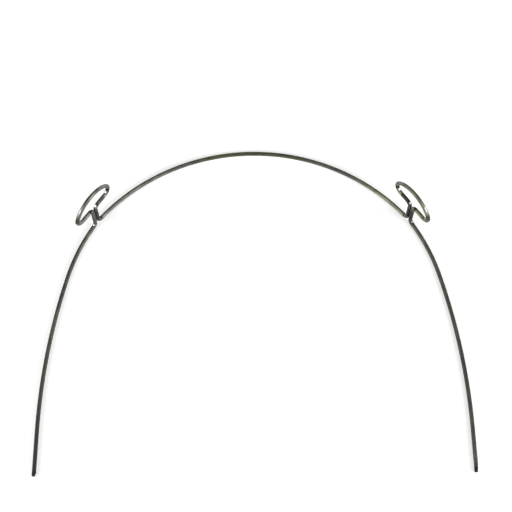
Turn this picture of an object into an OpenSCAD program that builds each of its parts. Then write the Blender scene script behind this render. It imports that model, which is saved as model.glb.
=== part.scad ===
// Low row-cover hoop: one length of round steel wire, rolled to an arch,
// with a T-shaped tie ear folded up at each shoulder and two legs to push into soil.
// It lies flat as it comes to rest, ears up, legs towards -Y, centred over the origin.

/* [Wire] */
// Diameter of the wire
wire_d = 4; // [3:0.1:5]
// Growth of the wire's diameter where it is bent
bend_spread = 0.02; // [0.02:0.01:0.1]
// Centreline radius of the tight corners at the neck of an ear
corner_radius = 5; // [4:0.5:8]
// Straight wire left between one bend and the next
land = 1; // [0.5:0.1:3]

/* [Arch] */
// Centreline radius of the arch, and of the top of each leg
arch_radius = 200; // [160:1:260]
// Angle from the top of the arch to the foot of each ear
shoulder_angle = 49; // [40:0.5:56]

/* [Legs] */
// Extra turn that the wire takes between coming into an ear and leaving it
ear_kink = 9.5; // [0:0.5:14]
// Angle of the leg's top stretch, rolled to the arch radius
leg_top_angle = 16.5; // [10:0.5:20]
// Centreline radius of the leg's long stretch
leg_radius = 650; // [400:10:1000]
// Angle of the leg's long stretch
leg_angle = 14; // [8:0.5:16]
// Straight length at the tip of each leg
tip_length = 41; // [25:1:70]

/* [Ears] */
// Height of the ear's inner strands above the plane of the hoop, between centrelines
neck_height = 33.5; // [22:0.5:50]
// Clear gap between the two strands of the neck
neck_gap = 0.5; // [0.3:0.1:3]
// Length of the ear's head, between the centrelines of its two ends
head_length = 47.5; // [44:0.5:70]
// Centreline radius of the turn at each end of the head
head_end_radius = 8; // [5:0.5:9]
// Height of the head, between the centrelines of its inner strands and the top of its bow
head_height = 26; // [20:0.5:36]

/* [Hidden] */
// Distance that a straight runs on into the bends beside it, so that they are one solid
lap = 0.1;
// Largest distance between a facet and the true curve of a bend, and the facets round the wire
facet_sag = 0.05;
wire_sides = 32;

bend_d = wire_d + bend_spread;

// A neck strand's straight part, and the distance between the two strands
neck_straight = neck_height - 2 * corner_radius;
neck_pitch = bend_d + neck_gap;

// Along the head, from its middle to the centre of an end turn, and the straight that leads there
end_turn_offset = head_length / 2 - head_end_radius;
inner_straight = end_turn_offset - corner_radius - neck_pitch / 2;

// The bow over the top of the head, which runs into the land at each end without a kink
bow_rise = head_height - 2 * head_end_radius;
bow_half_angle = 2 * atan(bow_rise / (end_turn_offset + land));
bow_radius = head_end_radius + (end_turn_offset - land * cos(bow_half_angle)) / sin(bow_half_angle);
end_turn_angle = 180 - bow_half_angle;

// Direction of the wire, as an angle below +X, at each stretch of the right-hand side
ear_direction = shoulder_angle + ear_kink / 2;
leg_top_direction = shoulder_angle + ear_kink;
leg_direction = leg_top_direction + leg_top_angle;
tip_direction = leg_direction + leg_angle;

// Step made by a unit of straight wire, and by a bend that starts in a given direction
function heading(direction) = [cos(direction), -sin(direction)];
function bend_step(radius, direction, angle) =
    radius * [sin(direction + angle) - sin(direction), cos(direction + angle) - cos(direction)];

// Flat positions along the right-hand centreline, from the top of the arch
arch_end = bend_step(arch_radius, 0, shoulder_angle);
ear_end = arch_end
    + (land + corner_radius) * (heading(shoulder_angle) + heading(leg_top_direction))
    + neck_pitch * heading(ear_direction);
leg_top_end = ear_end + bend_step(arch_radius, leg_top_direction, leg_top_angle);
leg_end = leg_top_end + land * heading(leg_direction) + bend_step(leg_radius, leg_direction, leg_angle);
tip_end = leg_end + tip_length * heading(tip_direction);

// Middle of the hoop between the outside of the arch and the lowest edge of a tip
hoop_middle_y = (bend_d / 2 + tip_end.y - wire_d / 2 * abs(cos(tip_direction))) / 2;

// One side of the hoop as a forming sequence. Each row feeds straight wire, turns the
// wire about its own axis, then bends it by an angle around a radius.
side_sequence = [
    [land, -90, 90, corner_radius],
    [neck_straight, -ear_kink / 2, 90, corner_radius],
    [inner_straight, 180, end_turn_angle, head_end_radius],
    [land, 0, 2 * bow_half_angle, bow_radius],
    [land, 0, end_turn_angle, head_end_radius],
    [inner_straight, 180, 90, corner_radius],
    [neck_straight, ear_kink / 2, 90, corner_radius],
    [land, 90, leg_top_angle, arch_radius],
    [land, 0, leg_angle, leg_radius],
    [tip_length, 0, 0, 0]
];

// Straight wire along +X
module straight_wire(length) {
    rotate([0, 90, 0]) cylinder(h = length, d = wire_d, $fn = wire_sides);
}

// Bent wire that sets out along +X and turns towards -Y
module bent_wire(angle, radius) {
    bend_sides = ceil(180 / acos(1 - facet_sag / radius));
    translate([0, -radius, 0]) rotate([0, 0, 90 - angle])
        rotate_extrude(angle = angle, $fn = bend_sides)
            translate([radius, 0]) circle(d = bend_d, $fn = wire_sides);
}

// Wire formed by the rows of a sequence, each row starting where the last one ends
module formed_wire(sequence, row = 0) {
    feed = sequence[row][0];
    turn = sequence[row][1];
    angle = sequence[row][2];
    radius = sequence[row][3];
    free_end = row + 1 == len(sequence);
    translate([-lap, 0, 0]) straight_wire(feed + (free_end ? lap : 2 * lap));
    if (!free_end) translate([feed, 0, 0]) rotate([turn, 0, 0]) {
        bent_wire(angle, radius);
        translate(bend_step(radius, 0, angle)) rotate([0, 0, -angle])
            formed_wire(sequence, row + 1);
    }
}

module wire_hoop() {
    color("dimgray") translate([0, -hoop_middle_y, bend_d / 2]) {
        translate([-arch_end.x, arch_end.y]) rotate([0, 0, shoulder_angle])
            bent_wire(2 * shoulder_angle, arch_radius);
        for (side = [0, 1]) mirror([side, 0, 0])
            translate(arch_end) rotate([0, 0, -shoulder_angle]) formed_wire(side_sequence);
    }
}

wire_hoop();
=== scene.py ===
import math

import bpy
from mathutils import Matrix, Vector


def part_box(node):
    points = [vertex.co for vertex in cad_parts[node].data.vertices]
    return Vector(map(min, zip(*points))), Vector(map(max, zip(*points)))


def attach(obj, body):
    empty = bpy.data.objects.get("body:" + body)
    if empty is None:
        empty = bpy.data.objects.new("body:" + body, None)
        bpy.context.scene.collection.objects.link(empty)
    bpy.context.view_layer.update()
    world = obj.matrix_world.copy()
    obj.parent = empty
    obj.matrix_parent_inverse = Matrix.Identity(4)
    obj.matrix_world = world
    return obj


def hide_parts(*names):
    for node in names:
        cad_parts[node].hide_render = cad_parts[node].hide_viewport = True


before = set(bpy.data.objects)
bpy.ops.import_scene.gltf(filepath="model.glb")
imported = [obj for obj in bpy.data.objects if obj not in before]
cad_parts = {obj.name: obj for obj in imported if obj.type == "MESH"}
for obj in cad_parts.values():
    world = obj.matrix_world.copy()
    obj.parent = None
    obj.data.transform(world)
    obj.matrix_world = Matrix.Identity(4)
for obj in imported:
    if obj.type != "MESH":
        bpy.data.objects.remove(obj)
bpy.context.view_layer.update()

# Wire hoop
# One length of 4 mm drawn steel wire, bare but for a trace of oil, with die lines along it.
# It is rolled to the arch and the legs, a former bends an ear cold at each shoulder, and
# side cutters crop both ends. It lies flat on the floor, ears up. Sizes are in metres.
wire_diameter = 0.004
bend_spread = 0.00002
corner_radius = 0.005
land = 0.001
arch_radius = 0.200
shoulder_angle = math.radians(49)
ear_kink = math.radians(9.5)
leg_top_angle = math.radians(16.5)
leg_radius = 0.650
leg_angle = math.radians(14)
tip_length = 0.041
neck_height = 0.0335
neck_gap = 0.0005
head_length = 0.0475
head_end_radius = 0.008
head_height = 0.026

# The ear's straights and its bow follow from the sizes above
bent_diameter = wire_diameter + bend_spread
neck_straight = neck_height - 2 * corner_radius
neck_pitch = bent_diameter + neck_gap
end_turn_offset = head_length / 2 - head_end_radius
inner_straight = end_turn_offset - corner_radius - neck_pitch / 2
bow_rise = head_height - 2 * head_end_radius
bow_half_angle = 2 * math.atan(bow_rise / (end_turn_offset + land))
bow_reach = (end_turn_offset - land * math.cos(bow_half_angle)) / math.sin(bow_half_angle)
bow_radius = head_end_radius + bow_reach
end_turn_angle = math.pi - bow_half_angle
right_angle = math.pi / 2


class Row:
    """One step of the former. It feeds straight wire, turns it about its own axis and bends it."""

    def __init__(self, feed, turn=0, bend=0, radius=0, painted_shade_and_dark_tips=(0, 0), bend_painted_shade=(0, 0), dark_reflections=()):
        self.feed = feed
        self.turn = turn
        self.bend = bend
        self.radius = radius
        self.painted_shade_and_dark_tips = painted_shade_and_dark_tips
        self.bend_painted_shade = bend_painted_shade
        self.dark_reflections = dark_reflections


# Painted dark reflections in the polished bends: place, reach and strength, with place and reach as
# shares of the bend. A strength over 1 makes a mark with a flat top.
corner_dark_reflections = ((0.18, 0.20, 1.2), (0.82, 0.20, 1.2))
upper_end_dark_reflections = ((0.62, 0.25, 1.5),)
bow_dark_reflections = ((0.58, 0.14, 0.6), (1.0, 0.08, 1.3))
lower_end_dark_reflections = ((0.0, 0.25, 1.3),)

# One side from the top of the arch to the tip of the leg. The first pair of shares says how black the
# straight is painted, and the second how black the bend is, on the left side of the hoop and on the
# right one.
forming_rows = [
    Row(0, 0, shoulder_angle, arch_radius),
    Row(land, -right_angle, right_angle, corner_radius, dark_reflections=corner_dark_reflections),
    # Painted shade: the arch-side neck and the corner at its top are painted black, as shade between
    # the strands
    Row(neck_straight, -ear_kink / 2, right_angle, corner_radius, (0.8, 1), (0, 0.8), corner_dark_reflections),
    # Painted shade on the upper inner straight
    Row(inner_straight, math.pi, end_turn_angle, head_end_radius, (0.6, 0.8), dark_reflections=upper_end_dark_reflections),
    Row(land, 0, 2 * bow_half_angle, bow_radius, dark_reflections=bow_dark_reflections),
    Row(land, 0, end_turn_angle, head_end_radius, dark_reflections=lower_end_dark_reflections),
    Row(inner_straight, math.pi, right_angle, corner_radius, dark_reflections=corner_dark_reflections),
    # Painted shade on the leg-side neck and on the corner at its foot
    Row(neck_straight, ear_kink / 2, right_angle, corner_radius, (0.3, 0.8), (0, 0.8), corner_dark_reflections),
    Row(land, right_angle, leg_top_angle, arch_radius),
    Row(land, 0, leg_angle, leg_radius),
    # The tip is painted darker over its last stretch
    Row(tip_length, painted_shade_and_dark_tips=(0.6, 1)),
]

# The painted shade is thickest midway along a straight, and a tip is darkest over the last stretch of
# a free end.
# Their peaks are cut off at 1, so that they have a flat top.
straight_shade_peak = 2.5
dark_tip_peak = 2
dark_tip_length = 0.007

# Fineness of the mesh, and how far a tight bend squeezes the wire
wire_sides = 40
straight_step = 0.0012
tip_fineness = 3
bend_step_angle = math.radians(4)
tightest_gentle_radius = 0.030
fully_worked_radius = 0.011
squeeze = 0.03
squeeze_ramp = math.radians(20)


class Station:
    """One place along the centreline, with the wire's own axes there."""

    def __init__(self, axes, along, turned, radius, worked=0, painted_shade_and_dark_tips=(0, 0), tip_distance=None):
        self.axes = axes
        self.along = along
        self.turned = turned
        self.radius = radius
        self.worked = worked
        self.painted_shade_and_dark_tips = painted_shade_and_dark_tips
        self.tip_distance = tip_distance


def feed_stations(last, row, free_end):
    """Stations along the straight of a row, without its first point."""
    steps = max(1, math.ceil(row.feed / straight_step))
    if free_end:
        steps *= tip_fineness
    for step in range(1, steps + 1):
        share = step / steps
        left_over = row.feed * (1 - share)
        if free_end:
            thickness = dark_tip_peak * (1 - left_over / dark_tip_length)
        else:
            thickness = straight_shade_peak * math.sin(math.pi * share)
        yield Station(
            axes=last.axes @ Matrix.Translation((row.feed * share, 0, 0)),
            along=last.along + row.feed * share,
            turned=last.turned,
            radius=wire_diameter / 2,
            painted_shade_and_dark_tips=[side * min(1, max(0, thickness)) for side in row.painted_shade_and_dark_tips],
            tip_distance=left_over if free_end else None,
        )


def bend_stations(last, row):
    """Stations round the bend of a row, without its first point. The wire turns towards its own -Y."""
    turned_axes = last.axes @ Matrix.Rotation(row.turn, 4, "X")
    tight = row.radius < tightest_gentle_radius
    step_angle = bend_step_angle if tight else straight_step / row.radius
    steps = math.ceil(row.bend / step_angle)
    for step in range(1, steps + 1):
        share = step / steps
        bent = row.bend * share
        shift = Matrix.Translation((row.radius * math.sin(bent), row.radius * (math.cos(bent) - 1), 0))
        ramp = min(1, bent / squeeze_ramp, (row.bend - bent) / squeeze_ramp)
        # Painted dark reflections at their places round the bend
        dark_reflection = 0
        for place, reach, strength in row.dark_reflections:
            dark_reflection = max(dark_reflection, strength * (1 - abs(share - place) / reach))
        yield Station(
            axes=turned_axes @ shift @ Matrix.Rotation(-bent, 4, "Z"),
            along=last.along + row.radius * bent,
            turned=last.turned + row.turn,
            radius=bent_diameter / 2,
            worked=max(0, ramp) * min(1, fully_worked_radius / row.radius) if tight else 0,
            painted_shade_and_dark_tips=[max(min(1, dark_reflection), side) for side in row.bend_painted_shade],
        )


def form_side(rows, arch_top):
    """Stations of one side, from the top of the arch to the tip of the leg."""
    stations = [Station(arch_top, along=0, turned=0, radius=bent_diameter / 2)]
    for row in rows:
        if row.feed:
            stations.extend(feed_stations(stations[-1], row, free_end=row is rows[-1]))
        if row.bend:
            stations.extend(bend_stations(stations[-1], row))
    return stations


# Cropped ends: the jaws pinch the wire and push it inwards over its last stretch, shear a flat on
# one side of it, and leave a burr where the flat begins. The very edge rolls over a little.
pinch_length = 0.010
burr_length = 0.0007
burr_sharpness = 4
rounded_edge = 0.0005
edge_roll_over = 0.15


class Crop:
    """How one end was cut. A side of 1 is the outside of the hoop, and of -1 the inside."""

    def __init__(self, pinch, push, side, flat_depth, flat_length, burr):
        self.pinch = pinch
        self.push = push
        self.side = side
        self.flat_depth = flat_depth
        self.flat_length = flat_length
        self.burr = burr


left_crop = Crop(pinch=0.0, push=0.0, side=-1, flat_depth=0.0008, flat_length=0.0026, burr=0.0004)
right_crop = Crop(pinch=0.0005, push=0.0005, side=1, flat_depth=0.0, flat_length=0.0, burr=0.0008)


def ring_points(station, crop, inward=1.0):
    """Points round the wire at a station. Near a tip the ring takes the form that the crop gave it."""
    points = []
    for side in range(wire_sides):
        angle = 2 * math.pi * side / wire_sides - station.turned
        across = station.radius * (1 - squeeze * station.worked) * math.cos(angle)
        upward = station.radius * (1 + squeeze / 2 * station.worked) * math.sin(angle)
        pushed = 0
        if station.tip_distance is not None:
            nearness = max(0, 1 - station.tip_distance / pinch_length) ** 2
            rolled_over = edge_roll_over * max(0, 1 - station.tip_distance / rounded_edge) ** 2
            lip = max(0, 1 - abs(station.tip_distance - crop.flat_length) / burr_length)
            towards_cut = max(0, crop.side * across / station.radius)
            if station.tip_distance < crop.flat_length:
                outermost = station.radius - crop.flat_depth
                across = crop.side * min(crop.side * across, outermost)
            across *= (1 - crop.pinch / station.radius * nearness) * (1 - rolled_over)
            upward *= 1 - rolled_over
            across += crop.side * crop.burr * lip * towards_cut ** burr_sharpness
            pushed = -crop.push * nearness
        points.append(station.axes @ Vector((0, across * inward + pushed, upward * inward)))
    return points


def on_side(hand, points):
    """Points of the right side, where hand is 1, or their mirror image on the left, where it is -1."""
    return [Vector((hand * point.x, point.y, point.z)) for point in points]


class WireMesh:
    """Collects the rings of the wire, with the place that each point had before the wire was bent."""

    def __init__(self):
        self.points = []
        self.faces = []
        self.as_drawn = []
        self.worked = []
        self.painted_shade_and_dark_tips = []
        self.freshly_cut = []

    def add_ring(self, points, along, radius, turned=0, worked=0, painted_shade_and_dark_tips=0, cut=0):
        """Adds a ring. The tools polish the inside and the outside of a bend, and leave its flanks."""
        first = len(self.points)
        for side, point in enumerate(points):
            angle = 2 * math.pi * side / wire_sides
            self.points.append(point)
            self.as_drawn.append((along, radius * math.cos(angle), radius * math.sin(angle)))
            self.worked.append(worked * math.cos(angle - turned) ** 2)
            self.painted_shade_and_dark_tips.append(painted_shade_and_dark_tips)
            self.freshly_cut.append(cut)
        return first

    def join_rings(self, first, second):
        """Closes the wall between two rings, which are given by the numbers of their first points."""
        for side in range(wire_sides):
            after = (side + 1) % wire_sides
            self.faces.append((first + side, first + after, second + after, second + side))


low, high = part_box("wire_hoop")
top_of_arch = Matrix.Translation((0, high.y - bent_diameter / 2, low.z + bent_diameter / 2))
stations = form_side(forming_rows, top_of_arch)

# The rings run from the left tip over the arch to the right tip
wire_mesh = WireMesh()
ring_starts = []
for hand, shade_side, crop in ((-1, 0, left_crop), (1, 1, right_crop)):
    side_stations = stations[:0:-1] if hand < 0 else stations
    for station in side_stations:
        start = wire_mesh.add_ring(
            on_side(hand, ring_points(station, crop)),
            hand * station.along,
            wire_diameter / 2,
            station.turned,
            station.worked,
            station.painted_shade_and_dark_tips[shade_side],
        )
        if ring_starts:
            wire_mesh.join_rings(ring_starts[-1], start)
        ring_starts.append(start)

# Smaller and smaller rings close the two cut faces
cap_shares = [0.8, 0.5, 0.2]
tip = stations[-1]
for hand, crop, outer in ((-1, left_crop, ring_starts[0]), (1, right_crop, ring_starts[-1])):
    for share in cap_shares:
        points = on_side(hand, ring_points(tip, crop, share))
        start = wire_mesh.add_ring(points, hand * tip.along, wire_diameter / 2 * share, cut=1)
        wire_mesh.join_rings(*((start, outer) if hand < 0 else (outer, start)))
        outer = start
    middle = [outer + side for side in range(wire_sides)]
    wire_mesh.faces.append(tuple(reversed(middle)) if hand < 0 else tuple(middle))

sharp_edge_angle = math.radians(40)
hoop_mesh = bpy.data.meshes.new("bent_wire")
hoop_mesh.from_pydata(wire_mesh.points, [], wire_mesh.faces)
places = [number for place in wire_mesh.as_drawn for number in place]
hoop_mesh.attributes.new("as_drawn", "FLOAT_VECTOR", "POINT").data.foreach_set("vector", places)
for name, values in (
    ("worked", wire_mesh.worked),
    ("painted_shade_and_dark_tips", wire_mesh.painted_shade_and_dark_tips),
    ("freshly_cut", wire_mesh.freshly_cut),
):
    hoop_mesh.attributes.new(name, "FLOAT", "POINT").data.foreach_set("value", values)
hoop_mesh.polygons.foreach_set("use_smooth", [True] * len(hoop_mesh.polygons))
hoop_mesh.set_sharp_from_angle(angle=sharp_edge_angle)

# The wire's surface rolled out: along the wire in one direction and round it in the other
surface_map = hoop_mesh.uv_layers.new(name="along_and_round")
drawn_length = 2 * tip.along
for face in hoop_mesh.polygons:
    vertices = [hoop_mesh.loops[loop].vertex_index for loop in face.loop_indices]
    columns = [vertex % wire_sides for vertex in vertices]
    wraps = max(columns) - min(columns) > wire_sides / 2
    for loop, vertex, column in zip(face.loop_indices, vertices, columns):
        along = wire_mesh.as_drawn[vertex][0]
        around = column + wire_sides if wraps and column == 0 else column
        surface_map.data[loop].uv = ((along + tip.along) / drawn_length, around / wire_sides)


def shader_node(tree, kind, sockets, **options):
    """Adds a node. A socket's value is a constant, or the output that it is linked from."""
    made = tree.nodes.new(kind)
    for option, value in options.items():
        setattr(made, option, value)
    for socket, value in sockets.items():
        if isinstance(value, bpy.types.NodeSocket):
            tree.links.new(value, made.inputs[socket])
        else:
            made.inputs[socket].default_value = value
    return made


def wire_value(tree, name, socket):
    """A value that the mesh keeps at each of its points."""
    return shader_node(tree, "ShaderNodeAttribute", {}, attribute_name=name).outputs[socket]


def stretched_noise(tree, place, lengths, detail, shift=0.0):
    """Noise whose grains have these lengths, along the wire and across it, shifted by some grains."""
    scale = tuple(1 / length for length in (lengths[0], lengths[1], lengths[1]))
    sized = {"Vector": place, "Scale": scale, "Location": (shift, 0, 0)}
    grains = shader_node(tree, "ShaderNodeMapping", sized).outputs["Vector"]
    sockets = {"Vector": grains, "Scale": 1.0, "Detail": detail}
    return shader_node(tree, "ShaderNodeTexNoise", sockets).outputs["Fac"]


def value_range(tree, value, start, end, new_start, new_end):
    """Maps one range of a value onto another, held at its ends."""
    old_range = {"From Min": start, "From Max": end}
    new_range = {"To Min": new_start, "To Max": new_end}
    sockets = {"Value": value, **old_range, **new_range}
    return shader_node(tree, "ShaderNodeMapRange", sockets).outputs["Result"]


def value_mix(tree, way, first, second):
    """Makes one value of two: their product, or the larger one."""
    return shader_node(tree, "ShaderNodeMath", {0: first, 1: second}, operation=way).outputs[0]


def colour_mix(tree, share, first, second, way="MIX"):
    """Mixes two colours. Sockets 6 and 7 are a colour mix's inputs, and 2 its output."""
    sockets = {0: share, 6: first, 7: second}
    return shader_node(tree, "ShaderNodeMix", sockets, data_type="RGBA", blend_type=way).outputs[2]


steel_grey = (0.157, 0.160, 0.145, 1)
steel_pale = (0.305, 0.311, 0.283, 1)
steel_dark = (0.064, 0.065, 0.058, 1)
# Black for the painted shade and the painted dark reflections, and for the darker tips
steel_shade_black = (0.018, 0.018, 0.015, 1)
steel_burnished = (0.55, 0.55, 0.51, 1)
steel_cut = (0.10, 0.10, 0.09, 1)
oil_tint = (1.0, 1.0, 0.58, 1)

# Shares at places along the wire, which count from the top of the arch and are negative on the left:
# where it is paler, which at the shoulders is a painted highlight, where the scale is thick, and where
# a film of oil is left
paler_and_highlit_stretches = [
    (-0.490, 0), (-0.462, 0.3), (-0.430, 0), (-0.150, 1), (-0.040, 0.2), (0.005, 0.1),
    (0.060, 0.5), (0.150, 1), (0.330, 0.9), (0.360, 0.15), (0.390, 0),
]
scaled_stretches = [(-0.600, 1), (-0.540, 0)]
oiled_stretches = [
    (-0.060, 0.2), (-0.040, 1), (0.045, 1), (0.070, 0.1), (0.130, 0.7), (0.320, 0.8), (0.370, 0.2),
]

# Lengths of the grains in each noise, along the wire and across it
patch_lengths = (0.060, 0.012)
mottle_lengths = (0.006, 0.003)
die_line_lengths = (0.120, 0.0004)
# The shift sets where the mottle puts the burnished spots and the painted dark reflections in the
# bends
mottle_shift = 120.0

# How each noise turns into a share: the range of the noise, then the shares at its two ends
patch_shares = (0.40, 0.70, 0.0, 0.5)
mottle_shares = (0.40, 0.70, 0.0, 0.7)
die_line_shares = (0.35, 0.65, 0.0, 0.45)
burnish_shares = (0.42, 0.55, 0.2, 1.0)
# The next two give the painted dark reflections in the bends, and the patches in the painted shade
dark_reflection_shares = (0.38, 0.45, 1.0, 0.0)
shade_patch_shares = (0.42, 0.62, 1.0, 0.85)

# Sheen of the wire as drawn and where it is burnished, and how the die lines cut and stretch it
drawn_roughness = 0.52
burnished_roughness = 0.15
drawn_metal = 0.6
burnished_metal = 1.0
edge_tint = (0.3, 0.3, 0.3, 1)
die_line_depth = 0.000012
die_line_strength = 0.5
sheen_stretch = 0.6
sheen_turn = 0.25


def share_along(tree, along, stops):
    """A share that goes from stop to stop along the wire."""
    from_left_tip = value_range(tree, along, -tip.along, tip.along, 0.0, 1.0)
    ramp = shader_node(tree, "ShaderNodeValToRGB", {"Fac": from_left_tip})
    elements = ramp.color_ramp.elements
    elements.remove(elements[-1])
    for number, (place, share) in enumerate(stops):
        stop = elements[0] if number == 0 else elements.new(1)
        stop.position = (place / tip.along + 1) / 2
        stop.color = (share, share, share, 1)
    return ramp.outputs["Color"]


def drawn_steel():
    """Steel with dark scale, oiled, paler in stretches with a painted highlight at the shoulders,
    burnished at the bends, and with painted shade and dark reflections in the ears.
    """
    steel = bpy.data.materials.new("drawn_steel")
    steel.use_nodes = True
    tree = steel.node_tree
    surface = tree.nodes["Principled BSDF"]
    place = wire_value(tree, "as_drawn", "Vector")
    worked = wire_value(tree, "worked", "Fac")
    painted_shade_and_dark_tips = wire_value(tree, "painted_shade_and_dark_tips", "Fac")
    freshly_cut = wire_value(tree, "freshly_cut", "Fac")
    along = shader_node(tree, "ShaderNodeSeparateXYZ", {"Vector": place}).outputs["X"]
    patches = stretched_noise(tree, place, patch_lengths, detail=2.0)
    mottle = stretched_noise(tree, place, mottle_lengths, detail=3.0, shift=mottle_shift)
    die_lines = stretched_noise(tree, place, die_line_lengths, detail=2.0)

    # Paler stretches, which at the shoulders paint a highlight
    paler_and_highlit = colour_mix(tree, share_along(tree, along, paler_and_highlit_stretches), steel_grey, steel_pale)
    scaled = colour_mix(tree, share_along(tree, along, scaled_stretches), paler_and_highlit, steel_dark)
    oiled = colour_mix(tree, share_along(tree, along, oiled_stretches), scaled, oil_tint, "MULTIPLY")
    patched = colour_mix(tree, value_range(tree, patches, *patch_shares), oiled, steel_dark)
    mottled = colour_mix(tree, value_range(tree, mottle, *mottle_shares), patched, steel_dark)
    lined = colour_mix(tree, value_range(tree, die_lines, *die_line_shares), mottled, steel_dark)
    burnish = value_mix(tree, "MULTIPLY", worked, value_range(tree, mottle, *burnish_shares))
    burnished = colour_mix(tree, burnish, lined, steel_burnished)
    # Painted dark reflections in the bends, and the painted shade, darken the colour
    painted_dark_reflections = value_mix(tree, "MULTIPLY", worked, value_range(tree, mottle, *dark_reflection_shares))
    patchy_shade_and_dark_tips = value_mix(tree, "MULTIPLY", painted_shade_and_dark_tips, value_range(tree, mottle, *shade_patch_shares))
    shade_reflections_and_dark_tips = value_mix(tree, "MAXIMUM", patchy_shade_and_dark_tips, painted_dark_reflections)
    with_painted_shade = colour_mix(tree, shade_reflections_and_dark_tips, burnished, steel_shade_black)
    coloured = colour_mix(tree, freshly_cut, with_painted_shade, steel_cut)
    tree.links.new(coloured, surface.inputs["Base Color"])

    roughness = value_range(tree, burnish, 0.0, 1.0, drawn_roughness, burnished_roughness)
    tree.links.new(roughness, surface.inputs["Roughness"])
    metal = value_range(tree, burnish, 0.0, 1.0, drawn_metal, burnished_metal)
    tree.links.new(metal, surface.inputs["Metallic"])
    ridges = {"Height": die_lines, "Strength": die_line_strength, "Distance": die_line_depth}
    cut_lines = shader_node(tree, "ShaderNodeBump", ridges)
    tree.links.new(cut_lines.outputs["Normal"], surface.inputs["Normal"])
    rolled_out = {"direction_type": "UV_MAP", "uv_map": "along_and_round"}
    along_wire = shader_node(tree, "ShaderNodeTangent", {}, **rolled_out)
    tree.links.new(along_wire.outputs["Tangent"], surface.inputs["Tangent"])
    surface.inputs["Specular Tint"].default_value = edge_tint
    surface.inputs["Anisotropic"].default_value = sheen_stretch
    surface.inputs["Anisotropic Rotation"].default_value = sheen_turn
    return steel


hoop = bpy.data.objects.new("wire_hoop_drawn", hoop_mesh)
bpy.context.scene.collection.objects.link(hoop)
hoop.data.materials.append(drawn_steel())
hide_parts("wire_hoop")
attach(hoop, "root")

# Floor
# A wide sheet of white studio paper that the hoop lies on, and that takes the hoop's soft shadow.
# It shows a little brighter than the lamps make it, so that it reads as white from every side.
floor_half_width = 12.0
paper_colour = (0.72, 0.72, 0.72, 1)
paper_lift = 0.48

# The lamps fade out between these two distances from the middle, so the lift grows there
well_lit_distance = 0.4
unlit_distance = 1.0
unlit_paper_lift = 0.95

floor_mesh = bpy.data.meshes.new("studio_paper")
corners = [
    (x * floor_half_width, y * floor_half_width, low.z)
    for x, y in ((-1, -1), (1, -1), (1, 1), (-1, 1))
]
floor_mesh.from_pydata(corners, [], [(0, 1, 2, 3)])
floor = bpy.data.objects.new("floor", floor_mesh)
bpy.context.scene.collection.objects.link(floor)

paper = bpy.data.materials.new("white_paper")
paper.use_nodes = True
paper_tree = paper.node_tree
paper_tree.nodes.remove(paper_tree.nodes["Principled BSDF"])
rays = shader_node(paper_tree, "ShaderNodeLightPath", {}).outputs
direct_or_mirrored = value_mix(paper_tree, "MAXIMUM", rays["Is Camera Ray"], rays["Is Glossy Ray"])
seen = value_mix(paper_tree, "MAXIMUM", direct_or_mirrored, rays["Is Transmission Ray"])
spot = shader_node(paper_tree, "ShaderNodeNewGeometry", {}).outputs["Position"]
distance = shader_node(paper_tree, "ShaderNodeVectorMath", {0: spot}, operation="LENGTH")
lift_range = (well_lit_distance, unlit_distance, paper_lift, unlit_paper_lift)
lift_there = value_range(paper_tree, distance.outputs["Value"], *lift_range)
lift = value_mix(paper_tree, "MULTIPLY", seen, lift_there)
glow = shader_node(paper_tree, "ShaderNodeEmission", {"Strength": lift})
matt = shader_node(paper_tree, "ShaderNodeBsdfDiffuse", {"Color": paper_colour})
both = shader_node(paper_tree, "ShaderNodeAddShader", {0: matt.outputs[0], 1: glow.outputs[0]})
paper_tree.links.new(both.outputs[0], paper_tree.nodes["Material Output"].inputs["Surface"])
floor_mesh.materials.append(paper)

# Studio
# A pale sweep round the horizon under a dim ceiling, which a polished wire shows as a dark core
# between light edges. A soft lamp stands at each side, low and a little to the front, and a wide,
# weak one that the wire doesn't mirror hangs above. Powers are in watts.
sweep_colour = (0.85, 0.85, 0.85, 1)
ceiling_colour = (0.08, 0.08, 0.08, 1)

# Heights, on a round sky of radius 1, between which the sweep fades into the ceiling
fade_start = 0.05
fade_end = 0.30

studio = bpy.data.worlds.new("studio")
bpy.context.scene.world = studio
studio.use_nodes = True
studio_tree = studio.node_tree
direction = shader_node(studio_tree, "ShaderNodeTexCoord", {})
height = shader_node(studio_tree, "ShaderNodeSeparateXYZ", {"Vector": direction.outputs["Generated"]})
ceiling_share = value_range(studio_tree, height.outputs["Z"], fade_start, fade_end, 0.0, 1.0)
surround = colour_mix(studio_tree, ceiling_share, sweep_colour, ceiling_colour)
studio_tree.links.new(surround, studio_tree.nodes["Background"].inputs["Color"])

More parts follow.
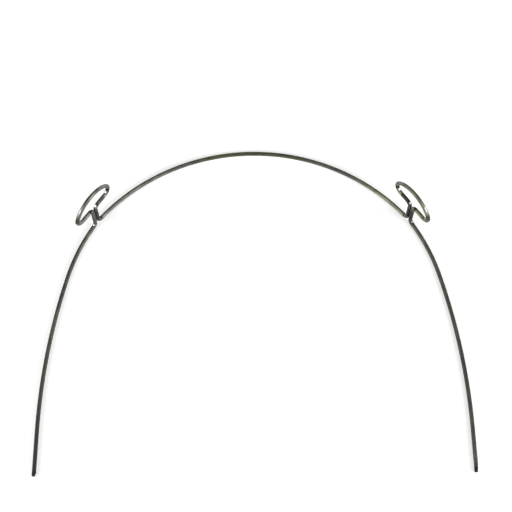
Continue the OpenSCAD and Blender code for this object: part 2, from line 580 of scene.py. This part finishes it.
lamp_distance = 1.6
lamp_width = 0.9
left_lamp_power = 20
right_lamp_power = 26
lamp_bearing = math.radians(66)
lamp_elevation = math.radians(25)
level_share = math.cos(lamp_elevation)
hoop_middle = (low + high) / 2
for name, hand, power in (("left_lamp", -1, left_lamp_power), ("right_lamp", 1, right_lamp_power)):
    lamp = bpy.data.lights.new(name, "AREA")
    lamp.shape = "DISK"
    lamp.size = lamp_width
    lamp.energy = power
    stand = bpy.data.objects.new(name, lamp)
    away = Vector((
        hand * level_share * math.sin(lamp_bearing),
        -level_share * math.cos(lamp_bearing),
        math.sin(lamp_elevation),
    ))
    stand.location = hoop_middle + lamp_distance * away
    stand.rotation_euler = away.to_track_quat("Z", "Y").to_euler()
    bpy.context.scene.collection.objects.link(stand)

top_lamp_height = 1.8
top_lamp_width = 2.4
top_lamp_power = 6
top_light = bpy.data.lights.new("top_lamp", "AREA")
top_light.size = top_lamp_width
top_light.energy = top_lamp_power
top_lamp = bpy.data.objects.new("top_lamp", top_light)
top_lamp.location = hoop_middle + Vector((0, 0, top_lamp_height))
top_lamp.visible_glossy = False
bpy.context.scene.collection.objects.link(top_lamp)

# Camera
# It looks down from the leg side, so that the ears stand towards it. Its place was found by
# fitting the hoop's centreline to the photograph's 512 by 512 frame.
camera_elevation = math.radians(67.36)
camera_bearing = math.radians(-0.39)
camera_roll = math.radians(0.18)
camera_distance = 1.373
camera_target = Vector((0.0028, 0.0524, 0.0020))
camera_lens = 97.23

backward = Vector((
    math.cos(camera_elevation) * math.sin(camera_bearing),
    -math.cos(camera_elevation) * math.cos(camera_bearing),
    math.sin(camera_elevation),
))
level_right = Vector((math.cos(camera_bearing), math.sin(camera_bearing), 0))
level_up = backward.cross(level_right)
right = math.cos(camera_roll) * level_right - math.sin(camera_roll) * level_up
up = math.sin(camera_roll) * level_right + math.cos(camera_roll) * level_up
camera_data = bpy.data.cameras.new("camera")
camera_data.lens = camera_lens
camera = bpy.data.objects.new("camera", camera_data)
camera.matrix_world = Matrix.LocRotScale(
    camera_target + camera_distance * backward,
    Matrix((right, up, backward)).transposed(),
    None,
)
bpy.context.scene.collection.objects.link(camera)
bpy.context.scene.camera = camera
bpy.context.scene.view_settings.view_transform = "Standard"
